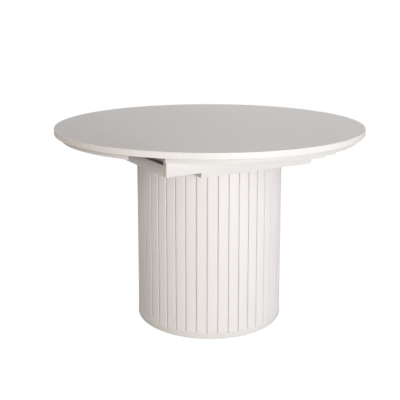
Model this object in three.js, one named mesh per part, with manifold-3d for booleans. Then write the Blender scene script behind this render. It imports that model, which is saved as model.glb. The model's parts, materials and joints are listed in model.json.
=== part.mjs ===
// Round dining table on a slatted drum pedestal. The top parts along a seam, its two halves
// slide out on nested runners, and a folded leaf is stored in the frame underneath.
// Millimetres. +Z is up, the origin is on the floor on the pedestal's axis, and the top slides
// apart along X: the left half towards -X, the right half towards +X. Front is -Y.

import * as THREE from 'three';
import { mergeVertices } from 'three/addons/utils/BufferGeometryUtils.js';
import Module from 'manifold-3d';

const wasm = await Module();
wasm.setup();

// ---------------------------------------------------------------- driving dimensions

const GAP = 0.3; // between two faces that touch
const SLIDE_GAP = 0.5; // between two boards that slide past each other
const EDGE_BREAK = 1; // chamfer on the edges that a hand meets

const HEIGHT = 765; // floor to top surface
const TOP_RADIUS = 600;
const TOP_THICK = 22;
const TOP_STEPS = 192; // sides of the round top's outline
const TRAVEL = 200; // how far each half slides

const STIFFENER_SETBACK = 23; // of the second layer under the top, from its rim
const STIFFENER_THICK = 18;
const END_STIFFENER_INSET = 51; // its tips, from the sliding rails' inner faces
const END_STIFFENER_STEPS = 32; // sides of its curved edge
const SIDE_STIFFENER_STEPS = 20;
const STIFFENER_CLEARANCE = 5; // between a rail and the stiffener beside it

const BOARD = 22; // thickness of every rail, crossbar and frame board
const RAIL_DEPTH = 68;
const LEFT_RAIL_LEFT_REACH = 154; // past the ends of the fixed frame
const LEFT_RAIL_RIGHT_REACH = 30;
const RIGHT_RAIL_RIGHT_REACH = 95;
const RAIL_STEP = 17; // from the left crossbar to the right half's rails
const CROSSBAR_DEPTH = 36;

const FRAME_DEPTH = 94.7; // fixed frame, bolted to the pedestal
const FRAME_TOP_CLEARANCE = 2; // under the top
const LEAF_CLEARANCE_LEFT = 23.5; // from the stored leaf to the frame's boards
const LEAF_CLEARANCE_RIGHT = 1.5;
const LEAF_CLEARANCE_SIDES = 38;
const BASE_BOARD_THICK = 18;

const RUNNER_HEIGHT = 45;
const RUNNER_STEEL = 1.4;
const RUNNER_DEPTH = 11;
const SLIDER_HEIGHT = 36;
const SLIDER_DEPTH = 8;
const GROOVE_DEPTH = 6.2;
const INNER_RUNNER_SETBACK = 12; // from the ends of the fixed frame
const OUTER_RUNNER_SETBACK = 32; // from the ends of the rails that it joins

const LEAF_SIDE_CLEARANCE = 0.5;
const LEAF_FOLD_GAP = 1.5;
const LEAF_REST_THICK = 7;
const LEAF_REST_WIDTH = 30;
const LEAF_REST_FROM_CENTRE = 170;
const LEAF_HINGE_FROM_CENTRE = 130;
const HINGE_LENGTH = 50;
const HINGE_PLATE = 2;
const HINGE_WIDTH = 36;
const KNUCKLE_RADIUS = 3.2;
const PIVOT_RADIUS = 5;
const PIVOT_INSET = 30; // of its lug, from the leaf's long edge
const PIVOT_PLATE = 2.5;
const PIVOT_PLATE_LENGTH = 50;
const PIVOT_PLATE_WIDTH = 40;
const PIVOT_LUG = 5;
const PIVOT_LUG_WIDTH = 18;
const PIVOT_SEAT_DEPTH = 11;

const DOWEL_RADIUS = 4;
const DOWEL_LENGTH = 40;
const DOWEL_FROM_CENTRE = 270;

const LATCH_INSET = 30; // from the stiffener's inner edge
const LATCH_PIVOT_FROM_SEAM = 20;
const LATCH_REACH = 38; // pivot post to catch post
const LATCH_POST_RADIUS = 4;
const LATCH_HEAD_RADIUS = 7;
const LATCH_HEAD_THICK = 2;
const LATCH_PLATE = 2.2;
const LATCH_PLATE_WIDTH = 26;
const LATCH_PLATE_TAIL = 22; // from the pivot post, away from the seam
const LATCH_PLATE_NOSE = 14;
const CATCH_PLATE_TAIL = 20; // from the catch post, away from the seam
const CATCH_PLATE_NOSE = 12;
const LEVER_THICK = 4;
const LEVER_WIDTH = 18;
const LEVER_TAIL = 26;
const LATCH_SLOT_CLEARANCE = 2;
const LATCH_HOOK_END = 5;

const SLAT_RADIUS = 285.3; // outer face of the slats
const SLAT_COUNT = 45;
const SLAT_PANEL_COUNT = 5;
const SLAT_PANEL_THICK = 18;
const SLAT_GROOVE_WIDTH = 4;
const SLAT_GROOVE_DEPTH = 5;
const SLAT_START_DEG = 5.65; // turn of the slat pattern about the axis
const PLINTH_REVEAL = 1.2; // beyond the slats
const PLINTH_TOP = 23;
const PLINTH_STEPS = 180;
const PEDESTAL_DISC = 22;
const PEDESTAL_DISC_STEPS = 90;
const GLIDE_RADIUS = 14;
const GLIDE_THICK = 2;
const GLIDE_STEM_RADIUS = 4;
const GLIDE_STEM_LENGTH = 12;
const GLIDE_INSET = 61; // from the plinth's edge
const BOLT_RADIUS = 4;
const BOLT_HEAD_RADIUS = 6.5;
const BOLT_HEAD_THICK = 5;
const BOLT_FROM_CENTRE = 110;

// ---------------------------------------------------------------- levels and places

const UNDER_TOP = HEIGHT - TOP_THICK;
const UNDER_STIFFENER = UNDER_TOP - GAP - STIFFENER_THICK;
const RAIL_TOP = UNDER_TOP - SLIDE_GAP;
const RAIL_BOTTOM = RAIL_TOP - RAIL_DEPTH;
const CROSSBAR_TOP = RAIL_BOTTOM + CROSSBAR_DEPTH;
const RUNNER_LEVEL = (RAIL_TOP + RAIL_BOTTOM) / 2;
const FRAME_TOP = UNDER_TOP - FRAME_TOP_CLEARANCE;
const FRAME_BOTTOM = FRAME_TOP - FRAME_DEPTH;
const BASE_BOARD_TOP = FRAME_BOTTOM + BASE_BOARD_THICK;
const PEDESTAL_TOP = FRAME_BOTTOM - GAP;

// The leaf fills the open seam: two panels span its length, and each is stored across the frame.
const LEAF_HALF_WIDTH = TRAVEL - LEAF_SIDE_CLEARANCE;
const LEAF_PANEL_LENGTH = TOP_RADIUS;
const LEAF_BOTTOM = BASE_BOARD_TOP + GAP + LEAF_REST_THICK + GAP;
const LEAF_UPPER = LEAF_BOTTOM + TOP_THICK + LEAF_FOLD_GAP;
const LEAF_UPPER_TOP = LEAF_UPPER + TOP_THICK;
const LEAF_FOLD = LEAF_BOTTOM + TOP_THICK + LEAF_FOLD_GAP / 2;
// Half a turn about this line takes the upper panel from the frame into the open seam.
const PIVOT_Y = -LEAF_PANEL_LENGTH / 4;
const PIVOT_Z = (LEAF_UPPER + TOP_THICK / 2 + HEIGHT - TOP_THICK / 2) / 2;

const FRAME_LEFT = -(LEAF_HALF_WIDTH + LEAF_CLEARANCE_LEFT + BOARD);
const FRAME_RIGHT = LEAF_HALF_WIDTH + LEAF_CLEARANCE_RIGHT + BOARD;
const FRAME_INSIDE = LEAF_PANEL_LENGTH / 2 + LEAF_CLEARANCE_SIDES;
const FRAME_OUTSIDE = FRAME_INSIDE + BOARD;
const LEFT_RAIL_START = FRAME_LEFT - LEFT_RAIL_LEFT_REACH;
const LEFT_RAIL_END = FRAME_RIGHT + LEFT_RAIL_RIGHT_REACH;
const RIGHT_RAIL_START = LEFT_RAIL_START + BOARD + RAIL_STEP;
const RIGHT_RAIL_END = FRAME_RIGHT + RIGHT_RAIL_RIGHT_REACH;

const RIGHT_RAIL_INSIDE = FRAME_OUTSIDE + SLIDE_GAP;
const RIGHT_RAIL_OUTSIDE = RIGHT_RAIL_INSIDE + BOARD;
const LEFT_RAIL_INSIDE = RIGHT_RAIL_OUTSIDE + SLIDE_GAP;
const LEFT_RAIL_OUTSIDE = LEFT_RAIL_INSIDE + BOARD;

const STIFFENER_RADIUS = TOP_RADIUS - STIFFENER_SETBACK;
const SIDE_STIFFENER_START = LEFT_RAIL_OUTSIDE + STIFFENER_CLEARANCE;
const END_STIFFENER_TIP = RIGHT_RAIL_INSIDE - END_STIFFENER_INSET;
const LATCH_FROM_CENTRE = SIDE_STIFFENER_START + LATCH_INSET;

const SLAT_INNER_RADIUS = SLAT_RADIUS - SLAT_PANEL_THICK;
const DISC_RADIUS = SLAT_INNER_RADIUS - GAP;
const PLINTH_RADIUS = SLAT_RADIUS + PLINTH_REVEAL;
const GLIDE_FROM_CENTRE = PLINTH_RADIUS - GLIDE_INSET;

// ---------------------------------------------------------------- materials

const paint = (color) => new THREE.MeshStandardMaterial({ color, roughness: 0.55, metalness: 0 });
const metal = (color) => new THREE.MeshStandardMaterial({ color, roughness: 0.35, metalness: 1 });
const whitePaint = 0xf2eee8;
const boardGrey = 0xd9d4cb;
const zincSteel = 0xb9bcc0;
const beech = 0xcfae80;
const felt = 0x5a5a5c;

// ---------------------------------------------------------------- shape helpers

const radians = THREE.MathUtils.degToRad;

// Outline in X and Y, extruded from z0 to z1. A chamfer stays inside the outline.
function prism(points, z0, z1, chamfer = 0) {
  const geometry = new THREE.ExtrudeGeometry(new THREE.Shape(points), {
    depth: z1 - z0 - 2 * chamfer,
    bevelEnabled: chamfer > 0,
    bevelThickness: chamfer,
    bevelSize: chamfer,
    bevelOffset: -chamfer,
    bevelSegments: 1,
    curveSegments: 1,
  });
  return geometry.translate(0, 0, z0 + chamfer);
}

function block([x0, x1], [y0, y1], [z0, z1]) {
  const geometry = new THREE.BoxGeometry(x1 - x0, y1 - y0, z1 - z0);
  return geometry.translate((x0 + x1) / 2, (y0 + y1) / 2, (z0 + z1) / 2);
}

// Range of a given width, centred on a place.
function around(middle, width) {
  return [middle - width / 2, middle + width / 2];
}

// Y range from one distance to another, on the front (-1) or the rear (1) side.
function sideRange(side, near, far) {
  return side < 0 ? [-far, -near] : [near, far];
}

function disc(radius, z0, z1, x = 0, y = 0, segments = 24) {
  const geometry = new THREE.CylinderGeometry(radius, radius, z1 - z0, segments);
  return geometry.rotateX(Math.PI / 2).translate(x, y, (z0 + z1) / 2);
}

function rodAlongX(radius, x0, x1, y, z, segments = 20) {
  const geometry = new THREE.CylinderGeometry(radius, radius, x1 - x0, segments);
  return geometry.rotateZ(Math.PI / 2).translate((x0 + x1) / 2, y, z);
}

// Section in Y and Z, drawn out along X.
function barAlongX(section, x0, x1) {
  const geometry = new THREE.ExtrudeGeometry(new THREE.Shape(section), {
    depth: x1 - x0,
    bevelEnabled: false,
  });
  const axes = new THREE.Matrix4().makeBasis(
    new THREE.Vector3(0, 1, 0),
    new THREE.Vector3(0, 0, 1),
    new THREE.Vector3(1, 0, 0),
  );
  return geometry.applyMatrix4(axes).translate(x0, 0, 0);
}

function polar(radius, angleDeg) {
  const angle = radians(angleDeg);
  return new THREE.Vector2(radius * Math.cos(angle), radius * Math.sin(angle));
}

function arc(radius, fromDeg, toDeg, steps) {
  const turn = (toDeg - fromDeg) / steps;
  return Array.from({ length: steps + 1 }, (_, i) => polar(radius, fromDeg + i * turn));
}

function toSolid(geometry) {
  const bare = geometry.clone();
  bare.deleteAttribute('normal');
  bare.deleteAttribute('uv');
  const merged = mergeVertices(bare);
  return new wasm.Manifold(new wasm.Mesh({
    numProp: 3,
    vertProperties: new Float32Array(merged.attributes.position.array),
    triVerts: new Uint32Array(merged.index.array),
  }));
}

function fromSolid(solid) {
  const mesh = solid.getMesh();
  const geometry = new THREE.BufferGeometry();
  geometry.setAttribute('position', new THREE.BufferAttribute(mesh.vertProperties, 3));
  geometry.setIndex(new THREE.BufferAttribute(mesh.triVerts, 1));
  const faceted = geometry.toNonIndexed();
  faceted.computeVertexNormals();
  return faceted;
}

function cut(geometry, ...tools) {
  return fromSolid(tools.reduce((solid, tool) => solid.subtract(toSolid(tool)), toSolid(geometry)));
}

function join(geometry, ...others) {
  return fromSolid(others.reduce((solid, other) => solid.add(toSolid(other)), toSolid(geometry)));
}

const past = 5; // how far a cutting tool runs out of an open end
const sunk = 1; // how far a joined shape runs into its neighbour

// ---------------------------------------------------------------- groups

const table = new THREE.Group();
const pedestal = new THREE.Group();
const fixedFrame = new THREE.Group();
const leaf = new THREE.Group();
const halves = { left: new THREE.Group(), right: new THREE.Group() };
table.add(pedestal, fixedFrame, leaf, halves.left, halves.right);

function place(group, name, geometry, material) {
  const mesh = new THREE.Mesh(geometry, material);
  mesh.name = name;
  group.add(mesh);
}

const SIDES = [
  ['front', -1],
  ['rear', 1],
];
const HALVES = [
  ['left', -1],
  ['right', 1],
];

// ---------------------------------------------------------------- top

// Half of the round top. The rim's edges are eased, and the seam's are left crisp.
function topPanel(way) {
  const rim = arc(TOP_RADIUS, 0, 360 - 360 / TOP_STEPS, TOP_STEPS - 1);
  const round = prism(rim, UNDER_TOP, HEIGHT, EDGE_BREAK);
  const outside = TOP_RADIUS + past;
  const otherHalf = block(
    way > 0 ? [-outside, GAP / 2] : [-GAP / 2, outside],
    [-outside, outside],
    [UNDER_TOP - past, HEIGHT + past],
  );
  const seat = DOWEL_LENGTH / 2 + GAP;
  const middle = HEIGHT - TOP_THICK / 2;
  const holes = [-1, 1].map((side) => (
    rodAlongX(DOWEL_RADIUS + GAP, -seat, seat, side * DOWEL_FROM_CENTRE, middle)
  ));
  return cut(round, otherHalf, ...holes);
}

// Segment of the second layer beyond the ends of the rails, with a straight inner edge.
function endStiffener(way) {
  const halfDeg = THREE.MathUtils.radToDeg(Math.asin(END_STIFFENER_TIP / STIFFENER_RADIUS));
  const middle = way > 0 ? 0 : 180;
  const rim = arc(STIFFENER_RADIUS, middle - halfDeg, middle + halfDeg, END_STIFFENER_STEPS);
  return prism(rim, UNDER_STIFFENER, UNDER_TOP - GAP);
}

// Corner piece of the second layer outside the rails, beside the seam.
function sideStiffener(way, side) {
  const fromDeg = THREE.MathUtils.radToDeg(Math.asin(SIDE_STIFFENER_START / STIFFENER_RADIUS));
  const toDeg = THREE.MathUtils.radToDeg(Math.acos(GAP / STIFFENER_RADIUS));
  const corner = new THREE.Vector2(GAP, SIDE_STIFFENER_START);
  const rim = arc(STIFFENER_RADIUS, fromDeg, toDeg, SIDE_STIFFENER_STEPS);
  const outline = [...rim, corner];
  const turned = outline.map((point) => new THREE.Vector2(way * point.x, side * point.y));
  return prism(turned, UNDER_STIFFENER, UNDER_TOP - GAP);
}

for (const [half, way] of HALVES) {
  place(halves[half], `${half}_top_panel`, topPanel(way), paint(whitePaint));
  place(halves[half], `${half}_end_stiffener`, endStiffener(way), paint(whitePaint));
  for (const [sideName, side] of SIDES) {
    const name = `${half}_${sideName}_stiffener`;
    place(halves[half], name, sideStiffener(way, side), paint(whitePaint));
  }
}

for (const [sideName, side] of SIDES) {
  const dowel = rodAlongX(
    DOWEL_RADIUS,
    -DOWEL_LENGTH / 2,
    DOWEL_LENGTH / 2,
    side * DOWEL_FROM_CENTRE,
    HEIGHT - TOP_THICK / 2,
  );
  place(halves.left, `${sideName}_seam_dowel`, dowel, paint(beech));
}

// ---------------------------------------------------------------- rails and runners

// Groove for half of a runner, cut into a board's face at distance y from the centre.
function runnerGroove(side, y, towardsCentre, x0, x1) {
  const half = RUNNER_HEIGHT / 2 + SLIDE_GAP;
  const open = SLIDE_GAP / 2;
  const inner = towardsCentre ? y - open : y - GROOVE_DEPTH;
  const outer = towardsCentre ? y + GROOVE_DEPTH : y + open;
  return block([x0, x1], sideRange(side, inner, outer), [RUNNER_LEVEL - half, RUNNER_LEVEL + half]);
}

// Steel channel whose web lies at distance y and whose flanges reach outwards or inwards.
function channel(side, y, reach, height, x0, x1) {
  const half = height / 2;
  const web = Math.sign(reach) * RUNNER_STEEL;
  const outline = [
    [y, -half],
    [y + reach, -half],
    [y + reach, -half + RUNNER_STEEL],
    [y + web, -half + RUNNER_STEEL],
    [y + web, half - RUNNER_STEEL],
    [y + reach, half - RUNNER_STEEL],
    [y + reach, half],
    [y, half],
  ];
  const section = outline.map(([across, up]) => new THREE.Vector2(side * across, RUNNER_LEVEL + up));
  return barAlongX(section, x0, x1);
}

const innerRunnerStart = FRAME_LEFT + INNER_RUNNER_SETBACK;
const innerRunnerEnd = FRAME_RIGHT - INNER_RUNNER_SETBACK;
const outerRunnerStart = RIGHT_RAIL_START + OUTER_RUNNER_SETBACK;
const outerRunnerEnd = LEFT_RAIL_END - OUTER_RUNNER_SETBACK;

for (const [sideName, side] of SIDES) {
  const railZ = [RAIL_BOTTOM, RAIL_TOP];

  const leftRail = cut(
    block(
      [LEFT_RAIL_START, LEFT_RAIL_END],
      sideRange(side, LEFT_RAIL_INSIDE, LEFT_RAIL_OUTSIDE),
      railZ,
    ),
    runnerGroove(side, LEFT_RAIL_INSIDE, true, outerRunnerStart - GAP, LEFT_RAIL_END + past),
  );
  place(halves.left, `left_${sideName}_rail`, leftRail, paint(whitePaint));

  const rightRail = cut(
    block(
      [RIGHT_RAIL_START, RIGHT_RAIL_END],
      sideRange(side, RIGHT_RAIL_INSIDE, RIGHT_RAIL_OUTSIDE),
      railZ,
    ),
    runnerGroove(side, RIGHT_RAIL_INSIDE, true, RIGHT_RAIL_START - past, innerRunnerEnd + GAP),
    runnerGroove(side, RIGHT_RAIL_OUTSIDE, false, RIGHT_RAIL_START - past, outerRunnerEnd + GAP),
  );
  place(halves.right, `right_${sideName}_rail`, rightRail, paint(whitePaint));

  const frameBoard = cut(
    block(
      [FRAME_LEFT, FRAME_RIGHT],
      sideRange(side, FRAME_INSIDE, FRAME_OUTSIDE),
      [FRAME_BOTTOM, FRAME_TOP],
    ),
    runnerGroove(side, FRAME_OUTSIDE, false, innerRunnerStart - GAP, FRAME_RIGHT + past),
  );
  place(fixedFrame, `frame_${sideName}_board`, frameBoard, paint(whitePaint));

  const innerWeb = FRAME_OUTSIDE - GROOVE_DEPTH + GAP;
  const innerFarWeb = RIGHT_RAIL_INSIDE + GROOVE_DEPTH - GAP;
  const outerWeb = RIGHT_RAIL_OUTSIDE - GROOVE_DEPTH + GAP;
  const outerFarWeb = LEFT_RAIL_INSIDE + GROOVE_DEPTH - GAP;
  const runner = (y, x0, x1) => channel(side, y, RUNNER_DEPTH, RUNNER_HEIGHT, x0, x1);
  const slider = (y, x0, x1) => channel(side, y, -SLIDER_DEPTH, SLIDER_HEIGHT, x0, x1);
  place(
    fixedFrame,
    `inner_runner_${sideName}`,
    runner(innerWeb, innerRunnerStart, innerRunnerEnd),
    metal(zincSteel),
  );
  place(
    halves.right,
    `inner_slider_${sideName}`,
    slider(innerFarWeb, innerRunnerStart, innerRunnerEnd),
    metal(zincSteel),
  );
  place(
    halves.right,
    `outer_runner_${sideName}`,
    runner(outerWeb, outerRunnerStart, outerRunnerEnd),
    metal(zincSteel),
  );
  place(
    halves.left,
    `outer_slider_${sideName}`,
    slider(outerFarWeb, outerRunnerStart, outerRunnerEnd),
    metal(zincSteel),
  );
}

const leftCrossbar = block(
  [LEFT_RAIL_START, LEFT_RAIL_START + BOARD],
  [-LEFT_RAIL_INSIDE + GAP, LEFT_RAIL_INSIDE - GAP],
  [RAIL_BOTTOM, CROSSBAR_TOP],
);
const rightCrossbar = block(
  [RIGHT_RAIL_END - BOARD, RIGHT_RAIL_END],
  [-RIGHT_RAIL_INSIDE + GAP, RIGHT_RAIL_INSIDE - GAP],
  [RAIL_BOTTOM, CROSSBAR_TOP],
);
place(halves.left, 'left_crossbar', leftCrossbar, paint(whitePaint));
place(halves.right, 'right_crossbar', rightCrossbar, paint(whitePaint));

// ---------------------------------------------------------------- fixed frame

const frameInner = [-FRAME_INSIDE + GAP, FRAME_INSIDE - GAP];
const boltSpots = [
  [-BOLT_FROM_CENTRE, -BOLT_FROM_CENTRE],
  [BOLT_FROM_CENTRE, -BOLT_FROM_CENTRE],
  [BOLT_FROM_CENTRE, BOLT_FROM_CENTRE],
  [-BOLT_FROM_CENTRE, BOLT_FROM_CENTRE],
];
const boltBottom = PEDESTAL_TOP - PEDESTAL_DISC + GAP;

function boltHoles(z0, z1) {
  return boltSpots.map(([x, y]) => disc(BOLT_RADIUS + GAP, z0, z1, x, y));
}

// End board with a hole for the leaf's pivot in its inner face.
function endBoard(x0, innerFace, way) {
  const seatEnd = innerFace + way * (PIVOT_SEAT_DEPTH + GAP);
  const [from, to] = [innerFace - way * past, seatEnd].sort((a, b) => a - b);
  return cut(
    block([x0, x0 + BOARD], frameInner, [FRAME_BOTTOM, FRAME_TOP]),
    rodAlongX(PIVOT_RADIUS + GAP, from, to, PIVOT_Y, PIVOT_Z),
  );
}

const leftInnerFace = FRAME_LEFT + BOARD;
const rightInnerFace = FRAME_RIGHT - BOARD;
place(fixedFrame, 'frame_left_board', endBoard(FRAME_LEFT, leftInnerFace, -1), paint(whitePaint));
place(fixedFrame, 'frame_right_board', endBoard(rightInnerFace, rightInnerFace, 1), paint(whitePaint));

const baseBoard = cut(
  block(
    [leftInnerFace + GAP, rightInnerFace - GAP],
    frameInner,
    [FRAME_BOTTOM, BASE_BOARD_TOP],
  ),
  ...boltHoles(FRAME_BOTTOM - past, BASE_BOARD_TOP + past),
);
place(fixedFrame, 'frame_base_board', baseBoard, paint(boardGrey));

boltSpots.forEach(([x, y], index) => {
  const headBottom = BASE_BOARD_TOP + GAP;
  const bolt = join(
    disc(BOLT_RADIUS, boltBottom, headBottom + sunk, x, y, 16),
    disc(BOLT_HEAD_RADIUS, headBottom, headBottom + BOLT_HEAD_THICK, x, y, 6),
  );
  place(fixedFrame, `frame_bolt_${index + 1}`, bolt, metal(zincSteel));
});

// ---------------------------------------------------------------- stored leaf

const leafEnd = LEAF_PANEL_LENGTH / 2;

// A recess in the joint edge of both panels takes each hinge's flat plate.
function hingePockets() {
  return [-1, 1].map((way) => block(
    around(way * LEAF_HINGE_FROM_CENTRE, HINGE_LENGTH + 2 * GAP),
    [-leafEnd - past, -leafEnd + HINGE_PLATE + GAP],
    around(LEAF_FOLD, HINGE_WIDTH + 2 * GAP),
  ));
}

function leafPanel(z) {
  const outline = [
    new THREE.Vector2(-LEAF_HALF_WIDTH, -leafEnd),
    new THREE.Vector2(LEAF_HALF_WIDTH, -leafEnd),
    new THREE.Vector2(LEAF_HALF_WIDTH, leafEnd),
    new THREE.Vector2(-LEAF_HALF_WIDTH, leafEnd),
  ];
  return cut(prism(outline, z, z + TOP_THICK, EDGE_BREAK), ...hingePockets());
}

place(leaf, 'leaf_lower_panel', leafPanel(LEAF_BOTTOM), paint(whitePaint));
place(leaf, 'leaf_upper_panel', leafPanel(LEAF_UPPER), paint(whitePaint));

for (const [half, way] of HALVES) {
  const along = around(way * LEAF_HINGE_FROM_CENTRE, HINGE_LENGTH);
  const plate = block(
    along,
    [-leafEnd, -leafEnd + HINGE_PLATE],
    around(LEAF_FOLD, HINGE_WIDTH),
  );
  const knuckle = rodAlongX(KNUCKLE_RADIUS, ...along, -leafEnd - KNUCKLE_RADIUS / 2, LEAF_FOLD);
  place(leaf, `leaf_hinge_${half}`, join(plate, knuckle), metal(zincSteel));

  const innerFace = way > 0 ? rightInnerFace : leftInnerFace;
  const lugX = way * (LEAF_HALF_WIDTH - PIVOT_INSET);
  const plateZ = LEAF_UPPER_TOP + GAP;
  const pin = [lugX, innerFace + way * PIVOT_SEAT_DEPTH].sort((a, b) => a - b);
  const pivot = join(
    block(
      around(lugX, PIVOT_PLATE_LENGTH),
      around(PIVOT_Y, PIVOT_PLATE_WIDTH),
      [plateZ, plateZ + PIVOT_PLATE],
    ),
    block(
      around(lugX, PIVOT_LUG),
      around(PIVOT_Y, PIVOT_LUG_WIDTH),
      [plateZ, PIVOT_Z + PIVOT_RADIUS],
    ),
    rodAlongX(PIVOT_RADIUS, ...pin, PIVOT_Y, PIVOT_Z),
  );
  place(leaf, `leaf_pivot_${half}`, pivot, metal(zincSteel));

  const rest = block(
    around(way * LEAF_REST_FROM_CENTRE, LEAF_REST_WIDTH),
    [-leafEnd, leafEnd],
    [BASE_BOARD_TOP + GAP, LEAF_BOTTOM - GAP],
  );
  place(fixedFrame, `leaf_rest_${half}`, rest, paint(felt));
}

// ---------------------------------------------------------------- seam latches

const latchTop = UNDER_STIFFENER - GAP;
const latchPlateBottom = latchTop - LATCH_PLATE;
const leverTop = latchPlateBottom - GAP;
const leverBottom = leverTop - LEVER_THICK;
const headTop = leverBottom - GAP;

function latchPlate(y) {
  const x = -LATCH_PIVOT_FROM_SEAM;
  return join(
    block(
      [x - LATCH_PLATE_TAIL, x + LATCH_PLATE_NOSE],
      around(y, LATCH_PLATE_WIDTH),
      [latchPlateBottom, latchTop],
    ),
    disc(LATCH_POST_RADIUS, headTop - sunk, latchTop - sunk, x, y, 16),
    disc(LATCH_HEAD_RADIUS, headTop - LATCH_HEAD_THICK, headTop, x, y, 20),
  );
}

function latchCatch(y) {
  const x = LATCH_REACH - LATCH_PIVOT_FROM_SEAM;
  return join(
    block(
      [x - CATCH_PLATE_NOSE, x + CATCH_PLATE_TAIL],
      around(y, LATCH_PLATE_WIDTH),
      [latchPlateBottom, latchTop],
    ),
    disc(LATCH_POST_RADIUS, leverBottom, latchTop - sunk, x, y, 16),
  );
}

// Lever lying unlocked, its hook pointing away from the centre. A quarter turn carries the
// hook round to the catch post, which enters the slot from the hook's leading edge.
function latchLever(side, y) {
  const slotHalf = LATCH_POST_RADIUS + LATCH_SLOT_CLEARANCE;
  const tip = LATCH_REACH + slotHalf + LATCH_HOOK_END;
  const through = [leverBottom - past, leverTop + past];
  const slotY = sideRange(side, LATCH_REACH - slotHalf, LATCH_REACH + slotHalf);
  const lever = cut(
    block(around(0, LEVER_WIDTH), sideRange(side, -LEVER_TAIL, tip), [leverBottom, leverTop]),
    disc(LATCH_POST_RADIUS + GAP, ...through),
    block([-slotHalf, LEVER_WIDTH], slotY, through),
  );
  return lever.translate(-LATCH_PIVOT_FROM_SEAM, y, 0);
}

for (const [sideName, side] of SIDES) {
  const y = side * LATCH_FROM_CENTRE;
  place(halves.left, `latch_plate_${sideName}`, latchPlate(y), metal(zincSteel));
  place(halves.left, `latch_lever_${sideName}`, latchLever(side, y), metal(zincSteel));
  place(halves.right, `latch_catch_${sideName}`, latchCatch(y), metal(zincSteel));
}

// ---------------------------------------------------------------- pedestal

// Curved panel of slats. It starts and ends at the middle of a groove.
function slatPanel(index) {
  const slatsInPanel = SLAT_COUNT / SLAT_PANEL_COUNT;
  const pitch = 360 / SLAT_COUNT;
  const degPerMm = 180 / Math.PI / SLAT_RADIUS;
  const start = SLAT_START_DEG + index * slatsInPanel * pitch;
  const end = start + slatsInPanel * pitch;
  const seam = (GAP / 2) * degPerMm;
  const halfGroove = (SLAT_GROOVE_WIDTH / 2) * degPerMm;
  const chamfer = EDGE_BREAK * degPerMm;
  const floor = SLAT_RADIUS - SLAT_GROOVE_DEPTH;

  const outline = [...arc(floor, start + seam, start + halfGroove, 1)];
  for (let i = 0; i < slatsInPanel; i += 1) {
    const from = start + i * pitch + halfGroove;
    const to = start + (i + 1) * pitch - halfGroove;
    const next = i < slatsInPanel - 1 ? to + 2 * halfGroove : end - seam;
    outline.push(
      polar(SLAT_RADIUS - EDGE_BREAK, from),
      ...arc(SLAT_RADIUS, from + chamfer, to - chamfer, 4),
      polar(SLAT_RADIUS - EDGE_BREAK, to),
      ...arc(floor, to, next, 1),
    );
  }
  const back = arc(SLAT_INNER_RADIUS, end - seam, start + seam, 2 * slatsInPanel);
  return prism([...outline, ...back], PLINTH_TOP + GAP, PEDESTAL_TOP);
}

for (let index = 0; index < SLAT_PANEL_COUNT; index += 1) {
  place(pedestal, `slat_panel_${index + 1}`, slatPanel(index), paint(whitePaint));
}

const glideSpots = [45, 135, 225, 315].map((angle) => [
  GLIDE_FROM_CENTRE * Math.cos(radians(angle)),
  GLIDE_FROM_CENTRE * Math.sin(radians(angle)),
]);

const plinth = cut(
  disc(PLINTH_RADIUS, GLIDE_THICK, PLINTH_TOP, 0, 0, PLINTH_STEPS),
  ...glideSpots.map(([x, y]) => disc(
    GLIDE_STEM_RADIUS + GAP,
    0,
    GLIDE_THICK + GLIDE_STEM_LENGTH + GAP,
    x,
    y,
  )),
);
place(pedestal, 'plinth', plinth, paint(whitePaint));

glideSpots.forEach(([x, y], index) => {
  const glide = join(
    disc(GLIDE_RADIUS, 0, GLIDE_THICK - GAP, x, y, 32),
    disc(GLIDE_STEM_RADIUS, GLIDE_THICK / 2, GLIDE_THICK + GLIDE_STEM_LENGTH, x, y, 16),
  );
  place(pedestal, `glide_${index + 1}`, glide, paint(felt));
});

const midLevel = (PLINTH_TOP + PEDESTAL_TOP) / 2;
const midDisc = disc(
  DISC_RADIUS,
  ...around(midLevel, PEDESTAL_DISC),
  0,
  0,
  PEDESTAL_DISC_STEPS,
);
place(pedestal, 'pedestal_mid_disc', midDisc, paint(boardGrey));

const topDisc = cut(
  disc(DISC_RADIUS, PEDESTAL_TOP - PEDESTAL_DISC, PEDESTAL_TOP, 0, 0, PEDESTAL_DISC_STEPS),
  ...boltHoles(PEDESTAL_TOP - PEDESTAL_DISC - past, PEDESTAL_TOP + past),
);
place(pedestal, 'pedestal_top_disc', topDisc, paint(boardGrey));

export default table;
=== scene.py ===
# %% [markdown]
# # A round table that opens for a leaf
# This lesson dresses a finished joiner's model of an extending table: a round top in two
# halves, the nested boards that let them slide, and a drum of upright slats under it all.
# The model gives every size, so each cell asks it where things are before making anything.

# %% Load the joiner's model
import json
import math

import bmesh
import bpy
from mathutils import Matrix, Vector


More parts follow.
